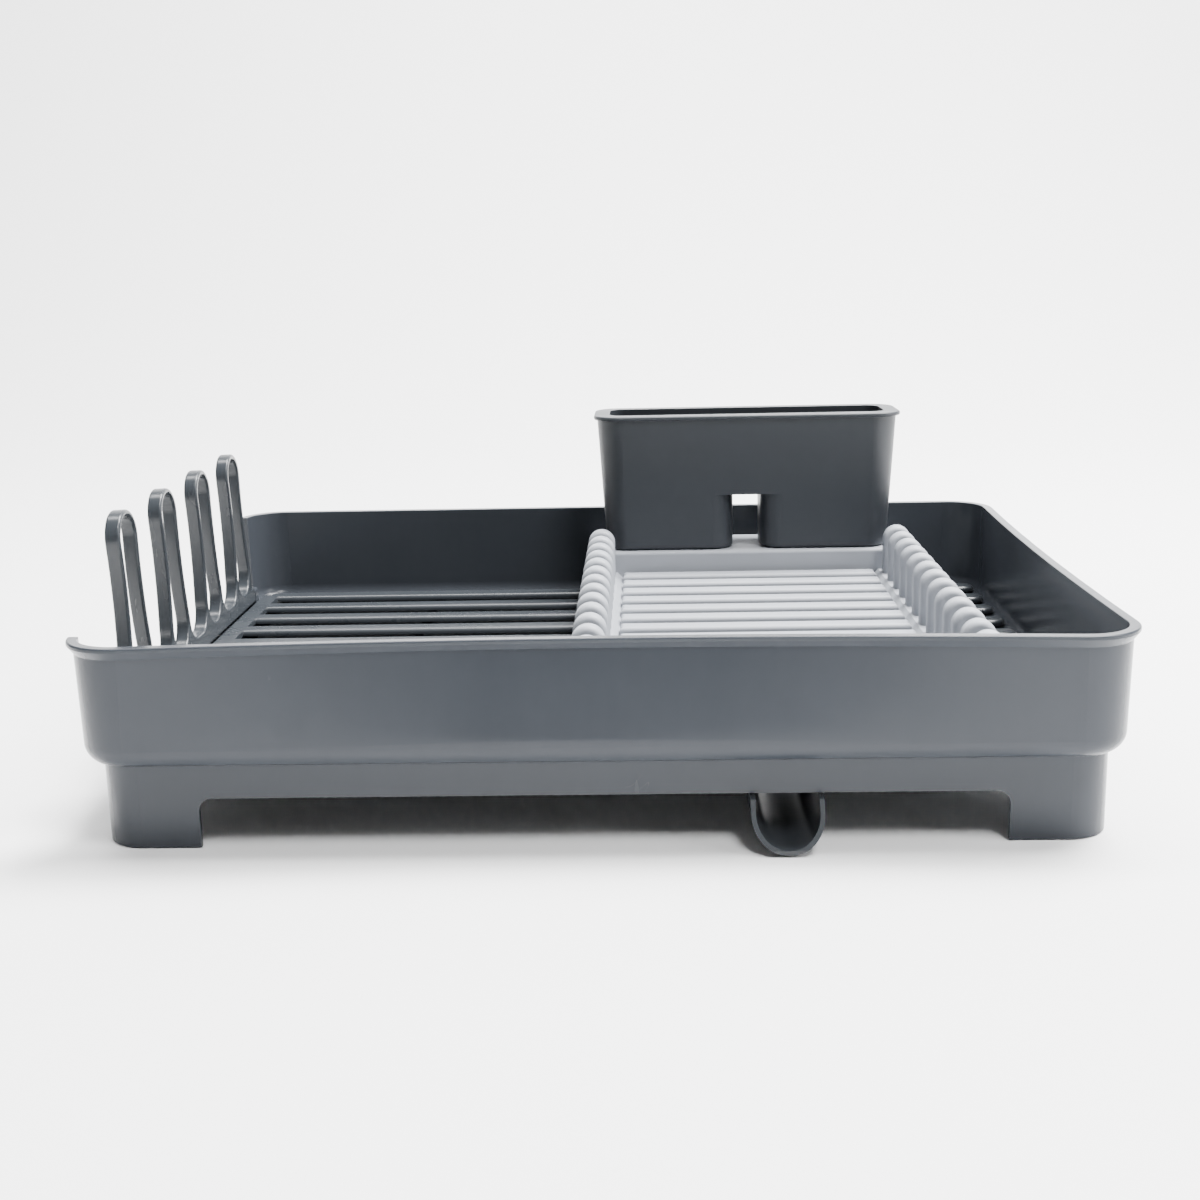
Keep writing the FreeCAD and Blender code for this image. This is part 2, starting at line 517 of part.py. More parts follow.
def build_plate_rack():
    body = new_body("plate_rack")
    foot = "gridTop + seatGap"
    rows = [("(centreX - rowSpan / 2)", "-", "+"), ("(centreX + rowSpan / 2)", "+", "-")]
    sides = []
    for row, out, inward in rows:
        outer = "(%s %s (toothWidth / 2 + railLedge))" % (row, out)
        sides.append((outer, "(%s %s railWidth)" % (outer, inward)))
    (outer_l, inner_l), (outer_r, inner_r) = sides
    front = "(toothFirst - (toothCount - 1) * toothPitch - toothThick / 2 - railLedge)"
    back = "(shelfFront + shelfDepth)"

    rails = sketch_on(body, "RailOutline", "XY_Plane", foot)
    for outer, inner in sides:
        low, high = sorted((outer, inner), key=val)
        rectangle(rails, low, front, high, back)
    feature(body, "Pad", "Rails", rails, Length="railTop - gridTop - seatGap")
    round_edges(body, "RailBevel", "railBevel", lambda p: near(p.z, val("railTop")) and
                (near(p.x, val(inner_l)) or near(p.x, val(inner_r))), kind="Chamfer")
    shelf = sketch_on(body, "ShelfOutline", "XY_Plane", foot)
    rectangle(shelf, outer_l, "shelfFront", outer_r, back)
    feature(body, "Pad", "Shelf", shelf, Length="shelfTop - gridTop - seatGap")
    round_edges(body, "ShelfRound", "shelfRound", lambda p: near(p.z, val("shelfTop")))

    hollow = sketch_on(body, "RailHollowOutline", "XY_Plane", foot)
    for outer, inner in sides:
        low, high = sorted((outer, inner), key=val)
        rectangle(hollow, low + " + rackWall", front + " + rackWall", high + " - rackWall",
                  "shelfFront - seatGap")
    feature(body, "Pocket", "RailHollow", hollow, Type="Length", Reversed=True,
            Length="railTop - railBevel - rackWall - gridTop - seatGap")
    hollow = sketch_on(body, "ShelfHollowOutline", "XY_Plane", foot)
    rectangle(hollow, outer_l + " + rackWall", "shelfFront + rackWall",
              outer_r + " - rackWall", back + " - rackWall")
    feature(body, "Pocket", "ShelfHollow", hollow, Type="Length", Reversed=True,
            Length="shelfTop - rackWall - gridTop - seatGap")
    gap = sketch_on(body, "ShelfUnderOutline", "XZ_Plane", "-shelfFront")
    rectangle(gap, inner_l + " + rackWall", "gridTop", inner_r + " - rackWall",
              "plateRibTop - plateRibThick")
    feature(body, "Pocket", "ShelfUnder", gap, Type="Length", Length="shelfDepth + 1")

    rib = sketch_on(body, "PlateRibOutline", "YZ_Plane", inner_l + " - rackWall / 2")
    rectangle(rib, "toothFirst - plateRibWidth / 2", "plateRibTop - plateRibThick",
              "toothFirst + plateRibWidth / 2", "plateRibTop")
    pad = feature(body, "Pad", "PlateRib", rib, Length="%s - %s + rackWall" % (inner_r, inner_l))
    pattern(body, "LinearPattern", "PlateRibs", [pad], Direction=(axis_of(body, "Y_Axis"), [""]),
            Reversed=True, Length="(toothCount - 1) * toothPitch", Occurrences=int(val("toothCount")))
    round_edges(body, "PlateRibRound", "plateRibRound",
                lambda p: near(p.z, val("plateRibTop")) and p.y < val("shelfFront") - 0.1)

    tooth = sketch_on(body, "ToothOutline", "XZ_Plane", "-(toothFirst + toothThick / 2)")
    for row, out, inward in rows:
        tombstone(tooth, row, "railTop - rackWall / 2", "toothTop", "toothWidth")
    pad = feature(body, "Pad", "Tooth", tooth, Length="toothThick")
    pattern(body, "LinearPattern", "Teeth", [pad], Direction=(axis_of(body, "Y_Axis"), [""]),
            Reversed=True, Length="(toothCount - 1) * toothPitch", Occurrences=int(val("toothCount")))
    round_edges(body, "ToothRound", "toothRound",
                lambda p: p.z > val("railTop + 2 * rackWall") and on_tooth_face(p.y))
    return body


def on_tooth_face(y):
    """Whether y lies on the front or back face of one of the teeth."""
    steps = (val("toothFirst") - y) / val("toothPitch")
    off = abs(steps - round(steps)) * val("toothPitch")
    return near(off, val("toothThick / 2"), 0.02)


def tombstone(sketch, x, low, top, width):
    """An upright outline with a half-round head."""
    cx, y0, y1, half = val(x), val(low), val("%s - %s / 2" % (top, width)), val(width + " / 2")
    first = sketch.GeometryCount
    sketch.addGeometry(arc(cx, y1, half, 0, 180), False)
    sketch.addGeometry(line(cx - half, y1, cx - half, y0), False)
    sketch.addGeometry(line(cx - half, y0, cx + half, y0), False)
    sketch.addGeometry(line(cx + half, y0, cx + half, y1), False)
    sketch.addConstraint(Sketcher.Constraint("Tangent", first, 2, first + 1, 1))
    sketch.addConstraint(Sketcher.Constraint("Coincident", first + 1, 2, first + 2, 1))
    sketch.addConstraint(Sketcher.Constraint("Coincident", first + 2, 2, first + 3, 1))
    sketch.addConstraint(Sketcher.Constraint("Tangent", first + 3, 2, first, 1))
    sketch.addConstraint(Sketcher.Constraint("Horizontal", first + 2))
    sketch.addConstraint(Sketcher.Constraint("Vertical", first + 1))
    point_at(sketch, first, 3, x, "%s - %s / 2" % (top, width))
    size_of(sketch, "Radius", (first,), width + " / 2")
    size_of(sketch, "DistanceY", (-1, 1, first + 2, 1), low)


# ---------------------------------------------------------------- cutlery holder

def leg_lofts(body, kind, name, middle, low, top, inset, lean):
    """Both legs between two heights: their outer sides lean, the sides next to the gap don't."""
    for side, way in (("-", "Left"), ("+", "Right")):
        sections = []
        for level, end, grow in ((low, "Foot", "0"), (top, "Head", "(%s - %s) * %s" % (top, low, lean))):
            section = sketch_on(body, name + way + end, "XY_Plane", level)
            outline(section, "centreX %s ((holderWidth + legGap) / 4 + %s / 2)" % (side, grow), middle,
                    "(holderWidth - legGap) / 2 - 2 * %s + %s" % (inset, grow),
                    "holderDepth - 2 * %s + 2 * %s" % (inset, grow), "holderRadius - %s" % inset)
            sections.append(section)
        loft(body, kind, name + way, sections)


def build_holder():
    body = new_body("cutlery_holder")
    foot = "(shelfTop + seatGap)"
    middle = "(holderFront + holderDepth / 2)"
    spread = "tan(holderLean * 1 deg)"
    split = "(%s + legHeight)" % foot
    grow = "2 * legHeight * tan(holderLean * 1 deg)"

    upper = sketch_on(body, "HolderOutline", "XY_Plane", split)
    outline(upper, "centreX", middle, "holderWidth + " + grow, "holderDepth + " + grow, "holderRadius")
    pad = feature(body, "Pad", "HolderUpper", upper, Length="holderHeight - legHeight",
                  TaperAngle="holderLean * 1 deg")
    leg_lofts(body, "AdditiveLoft", "HolderLeg", middle, foot, split, "0", spread)
    round_edges(body, "HolderFootRound", "legFoot", lambda p: near(p.z, val(foot)))

    lip = sketch_on(body, "HolderLipOutline", "XY_Plane", foot + " + holderHeight - holderLipThick")
    tall = "2 * holderHeight * %s" % spread
    outline(lip, "centreX", middle, "holderWidth + 2 * holderLip + " + tall,
            "holderDepth + 2 * holderLip + " + tall, "holderRadius + holderLip")
    feature(body, "Pad", "HolderLip", lip, Length="holderLipThick")
    top, reach = val(foot + " + holderHeight"), val("holderLip + holderHeight * " + spread)
    rim_x, rim_y = val("holderWidth / 2") + reach, val("holderDepth / 2") + reach
    round_edges(body, "HolderLipRound", "holderLipThick * 0.4", lambda p:
                (near(abs(p.x - val("centreX")), rim_x) or near(abs(p.y - val(middle)), rim_y))
                and (near(p.z, top) or near(p.z, top - val("holderLipThick"))))

    inside = sketch_on(body, "HolderInsideOutline", "XY_Plane", split + " + holderWall")
    shrink = " - 2 * holderWall"
    outline(inside, "centreX", middle, "holderWidth + %s%s" % (grow, shrink),
            "holderDepth + %s%s" % (grow, shrink), "holderRadius - holderWall")
    feature(body, "Pocket", "HolderInside", inside, Type="Length", Reversed=True,
            Length="holderHeight - legHeight - holderWall + 1", TaperAngle="-holderLean * 1 deg")
    leg_lofts(body, "SubtractiveLoft", "LegInside", middle, foot + " + holderWall",
              split + " + holderWall + 1", "holderWall", "tan(holderLean * 0.9 deg)")

    slots = sketch_on(body, "DrainSlotOutline", "XY_Plane", foot + " + holderWall + 1")
    for side in "-+":
        for step in ("-1", "0", "1"):
            outline(slots, "centreX %s (holderWidth + legGap) / 4" % side,
                    "%s + %s * slotPitch" % (middle, step), "slotLength", "slotWidth", "slotWidth * 0.49")
    feature(body, "Pocket", "DrainSlots", slots, Type="Length", Length="holderWall + 2")
    return body


# ---------------------------------------------------------------- cup rack

def build_cup_rack():
    body = new_body("cup_rack")
    hinge_x = "(-rimWidth / 2 + cupInset)"
    plane = "-cupWidth / 2"
    low = "(cupBarTop + cupSlotFoot - cupHinge)"
    high = "(cupTop - cupStrip - cupCrown - cupHinge)"
    first_loop = "(cupCentre - (cupCount - 1) / 2 * cupPitch)"

    bar = sketch_on(body, "CupBarOutline", "YZ_Plane", plane)
    rectangle(bar, rack_end(-1), "cupBarBottom - cupHinge", rack_end(1), "cupBarTop - cupHinge")
    feature(body, "Pad", "CupBar", bar, Length="cupWidth")
    loop = sketch_on(body, "CupLoopOutline", "YZ_Plane", plane)
    tab(loop, first_loop, "cupBarTop - cupHinge - cupStrip", low, high, "cupSlotFoot + cupStrip",
        "cupCrown + cupStrip", "cupSide")
    pad = feature(body, "Pad", "CupLoop", loop, Length="cupWidth")
    pattern(body, "LinearPattern", "CupLoops", [pad], Direction=(axis_of(body, "Y_Axis"), [""]),
            Length="(cupCount - 1) * cupPitch", Occurrences=int(val("cupCount")))
    valley = val("cupBarTop - cupHinge")
    round_edges(body, "CupValleys", "cupValley", lambda p: near(p.z, valley) and
                val(rack_end(-1, "- cupBarEnd")) + 1 < p.y < val(rack_end(1, "- cupBarEnd")) - 1
                and len({round(p.y, 3)}) == 1, across=True)
    slot = sketch_on(body, "CupSlotOutline", "YZ_Plane", plane + " - 1")
    capsule(slot, first_loop, low, high, "cupSlotFoot", "cupCrown", "cupSide + cupStrip")
    cut = feature(body, "Pocket", "CupSlot", slot, Type="Length", Reversed=True, Length="cupWidth + 2")
    pattern(body, "LinearPattern", "CupSlots", [cut], Direction=(axis_of(body, "Y_Axis"), [""]),
            Length="(cupCount - 1) * cupPitch", Occurrences=int(val("cupCount")))
    half = val("cupWidth / 2")
    round_edges(body, "CupEdges", "cupEdge", lambda p: near(abs(p.x), half))

    for name, end, side in (("Rear", rack_end(1), 1), ("Front", rack_end(-1), -1)):
        bore = sketch_on(body, "Cup%sBoreOutline" % name, "XZ_Plane", "-(%s)" % end)
        circle(bore, "0", "0", "pinRadius + pinGap")
        feature(body, "Pocket", "Cup%sBore" % name, bore, Type="Length", Reversed=side > 0,
                Length="pinDepth + seatGap")
    bind(body, "Placement.Base.x", hinge_x)
    bind(body, "Placement.Base.z", "cupHinge")
    bind(body, "Placement.Rotation.Angle", "-cupLean * 1 deg")
    body.Placement.Rotation.Axis = FreeCAD.Vector(0, 1, 0)
    return body


def tab(sketch, x, low, foot, head, foot_radius, head_radius, side_radius):
    """A round-headed tab with inward-curved sides that run into a wider circle, then straight down."""
    cx, y0, yf, yh, rf, rh, rs = (val(t) for t in (x, low, foot, head, foot_radius, head_radius,
                                                   side_radius))
    out, up, at_foot, at_head = side_curve(rf, rh, yh - yf, rs)
    first = sketch.GeometryCount
    for piece in (arc(cx, yh, rh, at_head, 180 - at_head),
                  arc(cx - out, yf + up, rs, -at_foot, -at_head),
                  arc(cx, yf, rf, 180 - at_foot, 180),
                  line(cx - rf, yf, cx - rf, y0),
                  line(cx - rf, y0, cx + rf, y0),
                  line(cx + rf, y0, cx + rf, yf),
                  arc(cx, yf, rf, 0, at_foot),
                  arc(cx + out, yf + up, rs, 180 + at_head, 180 + at_foot)):
        sketch.addGeometry(piece, False)
    for a, pa, b, pb in ((0, 2, 1, 2), (1, 1, 2, 1), (2, 2, 3, 1), (5, 2, 6, 1), (6, 2, 7, 2),
                         (7, 1, 0, 1)):
        sketch.addConstraint(Sketcher.Constraint("Tangent", first + a, pa, first + b, pb))
    for a in (3, 4):
        sketch.addConstraint(Sketcher.Constraint("Coincident", first + a, 2, first + a + 1, 1))
    sketch.addConstraint(Sketcher.Constraint("Vertical", first + 3))
    sketch.addConstraint(Sketcher.Constraint("Horizontal", first + 4))
    sketch.addConstraint(Sketcher.Constraint("Vertical", first + 5))
    for geo, height, radius in ((0, head, head_radius), (2, foot, foot_radius), (6, foot, foot_radius)):
        point_at(sketch, first + geo, 3, x, height)
        size_of(sketch, "Radius", (first + geo,), radius)
    for geo in (1, 7):
        size_of(sketch, "Radius", (first + geo,), side_radius)
    size_of(sketch, "DistanceY", (-1, 1, first + 4, 1), low)


def build_pin(label, side):
    body = new_body(label)
    start = rack_end(side, "- pinDepth") if side > 0 else rack_end(side, "earThick + seatGap + pinHead")
    shaft = sketch_on(body, label + "_shaft", "XZ_Plane", "-(%s)" % start)
    circle(shaft, "-rimWidth / 2 + cupInset", "cupHinge", "pinRadius")
    feature(body, "Pad", label + "_shaft_pad", shaft, Reversed=True,
            Length="pinDepth + seatGap + earThick + pinHead")
    head_at = rack_end(side, "earThick + seatGap" + ("" if side > 0 else " + pinHead"))
    head = sketch_on(body, label + "_head", "XZ_Plane", "-(%s)" % head_at)
    circle(head, "-rimWidth / 2 + cupInset", "cupHinge", "pinRadius * 1.7")
    feature(body, "Pad", label + "_head_pad", head, Reversed=True, Length="pinHead")
    return body


# ---------------------------------------------------------------- drain spout

def build_spout():
    body = new_body("drain_spout")
    neck_top = "(floorUnder + floorThick + seatGap / 2)"
    bottom = "(spoutFoot + spoutRadius)"
    shoulder = "(floorUnder - sealThick)"

    trough = sketch_on(body, "TroughOutline", "XZ_Plane", "-drainY")
    gutter(trough, bottom, "spoutTop", "spoutRadius")
    feature(body, "Pad", "Trough", trough, Length="spoutReach")
    hub = sketch_on(body, "HubOutline", "XY_Plane", "spoutFoot + spoutRadius / 3")
    circle(hub, "centreX", "drainY", "spoutRadius")
    feature(body, "Pad", "Hub", hub, Length="%s - spoutFoot - spoutRadius / 3" % shoulder)
    neck = sketch_on(body, "NeckOutline", "XY_Plane", shoulder)
    circle(neck, "centreX", "drainY", "neckRadius")
    feature(body, "Pad", "Neck", neck, Length="%s - %s" % (neck_top, shoulder))

    channel = sketch_on(body, "ChannelOutline", "XZ_Plane", "-drainY")
    gutter(channel, bottom, "spoutTop + 1", "spoutRadius - spoutWall")
    feature(body, "Pocket", "Channel", channel, Type="Length", Reversed=True, Length="spoutReach + 1")
    bore = sketch_on(body, "BoreOutline", "XY_Plane", neck_top)
    circle(bore, "centreX", "drainY", "neckRadius - spoutWall")
    feature(body, "Pocket", "Bore", bore, Type="Length", Length="%s - %s" % (neck_top, bottom))
    slope = sketch_on(body, "LipOutline", "YZ_Plane", "centreX - spoutRadius - 1")
    lip = "(drainY - spoutReach)"
    polygon(slope, [(lip + " - 1", "spoutFoot + spoutWall"), (lip, "spoutFoot + spoutWall"),
                    (lip + " + spoutCut", "spoutTop + 1"), (lip + " - 1", "spoutTop + 1")])
    feature(body, "Pocket", "LipCut", slope, Type="Length", Reversed=True, Length="2 * spoutRadius + 2")
    return body


def gutter(sketch, centre, top, radius):
    """A half-round trough section with upright sides, closed across the top."""
    cx, y0, y1, r = val("centreX"), val(centre), val(top), val(radius)
    first = sketch.GeometryCount
    sketch.addGeometry(arc(cx, y0, r, 180, 360), False)
    sketch.addGeometry(line(cx + r, y0, cx + r, y1), False)
    sketch.addGeometry(line(cx + r, y1, cx - r, y1), False)
    sketch.addGeometry(line(cx - r, y1, cx - r, y0), False)
    sketch.addConstraint(Sketcher.Constraint("Tangent", first, 2, first + 1, 1))
    sketch.addConstraint(Sketcher.Constraint("Coincident", first + 1, 2, first + 2, 1))
    sketch.addConstraint(Sketcher.Constraint("Coincident", first + 2, 2, first + 3, 1))
    sketch.addConstraint(Sketcher.Constraint("Tangent", first + 3, 2, first, 1))
    sketch.addConstraint(Sketcher.Constraint("Horizontal", first + 2))
    sketch.addConstraint(Sketcher.Constraint("Vertical", first + 1))
    point_at(sketch, first, 3, "centreX", centre)
    size_of(sketch, "Radius", (first,), radius)
    size_of(sketch, "DistanceY", (-1, 1, first + 2, 1), top)


def build_seal():
    body = new_body("spout_seal")
    ring = sketch_on(body, "SealOutline", "XY_Plane", "floorUnder - sealThick + seatGap / 6")
    circle(ring, "centreX", "drainY", "neckRadius + neckGap")
    circle(ring, "centreX", "drainY", "neckRadius + neckGap + sealWidth")
    feature(body, "Pad", "Seal", ring, Length="sealThick - seatGap / 6")
    return body


def build_retainer():
    body = new_body("spout_retainer")
    base = "(floorUnder + floorThick + seatGap / 2)"
    flange = sketch_on(body, "RetainerOutline", "XY_Plane", base)
    circle(flange, "centreX", "drainY", "neckRadius + retainerLip")
    feature(body, "Pad", "RetainerFlange", flange, Length="retainerThick")
    sleeve = sketch_on(body, "RetainerSleeveOutline", "XY_Plane", base)
    circle(sleeve, "centreX", "drainY", "neckRadius - spoutWall - seatGap / 6")
    feature(body, "Pad", "RetainerSleeve", sleeve, Length="retainerDepth", Reversed=True)
    hole = sketch_on(body, "RetainerHoleOutline", "XY_Plane", base + " + retainerThick + 1")
    circle(hole, "centreX", "drainY", "neckRadius - spoutWall * 1.7")
    feature(body, "Pocket", "RetainerHole", hole, Type="Length",
            Length="retainerThick + retainerDepth + 2")
    bars = sketch_on(body, "GrateOutline", "XY_Plane", base)
    reach = "(neckRadius - spoutWall)"
    for step in ("-1.5", "-0.5", "0.5", "1.5"):
        offset = "%s * 2.2 * grateBar" % step
        span = "sqrt(%s ^ 2 - (%s) ^ 2)" % (reach, offset)
        rectangle(bars, "centreX - " + span, "drainY + %s - grateBar / 2" % offset,
                  "centreX + " + span, "drainY + %s + grateBar / 2" % offset)
    feature(body, "Pad", "Grate", bars, Length="retainerThick")
    return body


def build_pad(label, sx, sy):
    body = new_body(label)
    disc = sketch_on(body, label + "_outline", "XY_Plane")
    circle(disc, sx + "(skirtWidth / 2 - padInset)", sy + "(skirtDepth / 2 - padInset)", "padRadius")
    feature(body, "Pad", label + "_disc", disc, Length="padThick")
    return body


built = [build_tub(), build_grid(), build_plate_rack(), build_holder(), build_cup_rack(),
         build_pin("cup_rack_pin_rear", 1), build_pin("cup_rack_pin_front", -1),
         build_spout(), build_seal(), build_retainer(),
         build_pad("foot_pad_front_left", "-", "-"), build_pad("foot_pad_front_right", "+", "-"),
         build_pad("foot_pad_rear_left", "-", "+"), build_pad("foot_pad_rear_right", "+", "+")]


def check():
    bad = ["%s: %s" % (item.Label, item.State) for item in doc.Objects
           if "Invalid" in item.State or "Error" in item.State]
    for body in built:
        if body.Shape.isNull() or not body.Shape.isValid():
            bad.append("%s: shape is null or not valid" % body.Label)
    if bad:
        raise RuntimeError("; ".join(bad))


doc.recompute()
check()
os.makedirs("parts", exist_ok=True)
for body in built:
    body.Shape.exportStep("parts/%s.step" % body.Label)
    box = body.Shape.BoundBox
    print("%-20s solids %d volume %.0f" % (body.Label, len(body.Shape.Solids), body.Shape.Volume),
          [round(v, 2) for v in (box.XMin, box.YMin, box.ZMin, box.XMax, box.YMax, box.ZMax)])
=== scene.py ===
import math

import bmesh
import bpy
from mathutils import Matrix, Vector


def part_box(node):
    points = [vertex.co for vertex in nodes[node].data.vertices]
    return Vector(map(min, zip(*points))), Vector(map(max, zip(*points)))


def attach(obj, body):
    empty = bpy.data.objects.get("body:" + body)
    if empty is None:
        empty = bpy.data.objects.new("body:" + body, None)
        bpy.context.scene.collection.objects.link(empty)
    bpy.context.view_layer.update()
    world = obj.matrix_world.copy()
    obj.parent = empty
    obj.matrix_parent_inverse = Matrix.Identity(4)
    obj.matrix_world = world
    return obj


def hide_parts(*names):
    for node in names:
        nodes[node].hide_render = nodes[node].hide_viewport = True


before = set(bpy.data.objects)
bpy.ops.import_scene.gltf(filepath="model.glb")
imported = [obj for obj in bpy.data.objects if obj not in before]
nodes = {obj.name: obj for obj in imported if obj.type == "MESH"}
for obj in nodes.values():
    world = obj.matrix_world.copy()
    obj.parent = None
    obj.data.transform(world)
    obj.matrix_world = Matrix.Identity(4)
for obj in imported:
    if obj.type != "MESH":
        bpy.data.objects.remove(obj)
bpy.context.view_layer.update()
print("frame loaded:", len(nodes), "nodes")


# helpers that build and join shader nodes

def newGroup(name, inputs, outputs):
    group = bpy.data.node_groups.new(name, "ShaderNodeTree")
    for label, kind, value in inputs:
        socket = group.interface.new_socket(name=label, in_out="INPUT", socket_type=kind)
        socket.default_value = value
    for label, kind in outputs:
        group.interface.new_socket(name=label, in_out="OUTPUT", socket_type=kind)
    return group, group.nodes.new("NodeGroupInput"), group.nodes.new("NodeGroupOutput")


def add(tree, kind, **settings):
    node = tree.nodes.new(kind)
    for key, value in settings.items():
        if key in node.inputs:
            node.inputs[key].default_value = value
        else:
            setattr(node, key, value)
    return node


def join(tree, source, target):
    tree.links.new(source, target)


def maths(tree, operation, first, second, clamp=False):
    node = tree.nodes.new("ShaderNodeMath")
    node.operation = operation
    node.use_clamp = clamp
    for socket, value in zip(node.inputs, (first, second)):
        if isinstance(value, (int, float)):
            socket.default_value = value
        else:
            join(tree, value, socket)
    return node.outputs[0]


def remap(tree, value, low, high, toLow, toHigh):
    node = tree.nodes.new("ShaderNodeMapRange")
    join(tree, value, node.inputs["Value"])
    ends = {"From Min": low, "From Max": high, "To Min": toLow, "To Max": toHigh}
    for key, number in ends.items():
        node.inputs[key].default_value = number
    return node.outputs["Result"]


# shader groups shared by the plastics

grainNoise = {"grainScale": 2600.0, "grainDetail": 3.0, "grainRoughness": 0.6,
              "meltScale": 14.0, "meltDetail": 4.0, "meltRoughness": 0.55}


def buildMouldGrain():
    # the fine spark-eroded texture a mould leaves, and the slow unevenness of the melt
    inputs = [("Grain Scale", "NodeSocketFloat", grainNoise["grainScale"]),
              ("Melt Scale", "NodeSocketFloat", grainNoise["meltScale"])]
    outputs = [("Grain", "NodeSocketFloat"), ("Melt", "NodeSocketFloat")]
    group, enter, leave = newGroup("mouldGrain", inputs, outputs)
    coords = add(group, "ShaderNodeTexCoord")
    grain = add(group, "ShaderNodeTexNoise", Detail=grainNoise["grainDetail"],
                Roughness=grainNoise["grainRoughness"])
    join(group, coords.outputs["Object"], grain.inputs["Vector"])
    join(group, enter.outputs["Grain Scale"], grain.inputs["Scale"])
    melt = add(group, "ShaderNodeTexNoise", Detail=grainNoise["meltDetail"],
               Roughness=grainNoise["meltRoughness"])
    join(group, coords.outputs["Object"], melt.inputs["Vector"])
    join(group, enter.outputs["Melt Scale"], melt.inputs["Scale"])
    join(group, grain.outputs["Fac"], leave.inputs["Grain"])
    join(group, melt.outputs["Fac"], leave.inputs["Melt"])
    return group


flowNoise = {"stretch": (60.0, 60.0, 4.0), "sharpness": 0.5, "detail": 5.0}


def buildFlowLines():
    # long faint streaks where the melt ran; Stretch squeezes the noise along each axis
    inputs = [("Stretch", "NodeSocketVector", flowNoise["stretch"]),
              ("Sharpness", "NodeSocketFloat", flowNoise["sharpness"])]
    group, enter, leave = newGroup("flowLines", inputs, [("Streak", "NodeSocketFloat")])
    coords = add(group, "ShaderNodeTexCoord")
    scaled = add(group, "ShaderNodeVectorMath", operation="MULTIPLY")
    join(group, coords.outputs["Object"], scaled.inputs[0])
    join(group, enter.outputs["Stretch"], scaled.inputs[1])
    noise = add(group, "ShaderNodeTexNoise", Scale=1.0, Detail=flowNoise["detail"])
    join(group, scaled.outputs[0], noise.inputs["Vector"])
    join(group, enter.outputs["Sharpness"], noise.inputs["Roughness"])
    join(group, noise.outputs["Fac"], leave.inputs["Streak"])
    return group


# the ramp's start and full ends are how far the rounded normal agrees with the true one; the mask
# marks edges for a painted highlight
edgeSheenLook = {"radius": 0.0012, "samples": 6, "sheenStarts": 0.99, "sheenFull": 0.86,
           "breakupScale": 180.0, "breakupDetail": 4.0, "breakupRoughness": 0.65,
           "patchLow": 0.35, "patchHigh": 0.62, "leastSheen": 0.35}


def buildEdgeSheen():
    # where a rounded normal leaves the true one, the mask marks the edge: a painted highlight in
    # colour, and in the plastics a lower roughness
    inputs = [("Radius", "NodeSocketFloat", edgeSheenLook["radius"]),
              ("Breakup", "NodeSocketFloat", edgeSheenLook["breakupScale"])]
    group, enter, leave = newGroup("edgeSheenMask", inputs, [("Mask", "NodeSocketFloat")])
    bevel = add(group, "ShaderNodeBevel", samples=edgeSheenLook["samples"])
    join(group, enter.outputs["Radius"], bevel.inputs["Radius"])
    shape = add(group, "ShaderNodeNewGeometry")
    dot = add(group, "ShaderNodeVectorMath", operation="DOT_PRODUCT")
    join(group, bevel.outputs["Normal"], dot.inputs[0])
    join(group, shape.outputs["Normal"], dot.inputs[1])
    edge = remap(group, dot.outputs["Value"], edgeSheenLook["sheenStarts"], edgeSheenLook["sheenFull"], 0.0, 1.0)
    coords = add(group, "ShaderNodeTexCoord")
    noise = add(group, "ShaderNodeTexNoise", Detail=edgeSheenLook["breakupDetail"],
                Roughness=edgeSheenLook["breakupRoughness"])
    join(group, coords.outputs["Object"], noise.inputs["Vector"])
    join(group, enter.outputs["Breakup"], noise.inputs["Scale"])
    patchy = remap(group, noise.outputs["Fac"], edgeSheenLook["patchLow"], edgeSheenLook["patchHigh"],
                   edgeSheenLook["leastSheen"], 1.0)
    join(group, maths(group, "MULTIPLY", edge, patchy, True), leave.inputs["Mask"])
    return group


scratchNoise = {"turn": (0.3, 0.5, 0.2), "density": 9.0, "stretch": (1.0, 14.0, 14.0),
                "lineWidth": 0.0035, "patchScale": 21.0, "patchLow": 0.55, "patchHigh": 0.68}


def buildHairlines():
    # sparse fine scratches: thin level lines of a stretched, turned noise
    inputs = [("Turn", "NodeSocketVector", scratchNoise["turn"]),
              ("Density", "NodeSocketFloat", scratchNoise["density"])]
    group, enter, leave = newGroup("hairlines", inputs, [("Mask", "NodeSocketFloat")])
    coords = add(group, "ShaderNodeTexCoord")
    turned = add(group, "ShaderNodeVectorRotate", rotation_type="EULER_XYZ")
    join(group, coords.outputs["Object"], turned.inputs["Vector"])
    join(group, enter.outputs["Turn"], turned.inputs["Rotation"])
    long = add(group, "ShaderNodeVectorMath", operation="MULTIPLY")
    long.inputs[1].default_value = scratchNoise["stretch"]
    join(group, turned.outputs[0], long.inputs[0])
    lines = add(group, "ShaderNodeTexNoise", Detail=1.0)
    join(group, long.outputs[0], lines.inputs["Vector"])
    join(group, enter.outputs["Density"], lines.inputs["Scale"])
    level = maths(group, "ABSOLUTE", maths(group, "SUBTRACT", lines.outputs["Fac"], 0.5), 0.0)
    thin = remap(group, level, 0.0, scratchNoise["lineWidth"], 1.0, 0.0)
    where = add(group, "ShaderNodeTexNoise", Scale=scratchNoise["patchScale"], Detail=2.0)
    join(group, coords.outputs["Object"], where.inputs["Vector"])
    sparse = remap(group, where.outputs["Fac"], scratchNoise["patchLow"],
                   scratchNoise["patchHigh"], 0.0, 1.0)
    join(group, maths(group, "MULTIPLY", thin, sparse, True), leave.inputs["Mask"])
    return group


groups = {"grain": buildMouldGrain(), "flow": buildFlowLines(), "edge": buildEdgeSheen(),
          "scratch": buildHairlines()}
print("shader groups built:", len(groups))


# plastics

def place(tree, name, values):
    node = tree.nodes.new("ShaderNodeGroup")
    node.node_tree = groups[name]
    for key, value in values.items():
        node.inputs[key].default_value = value
    return node


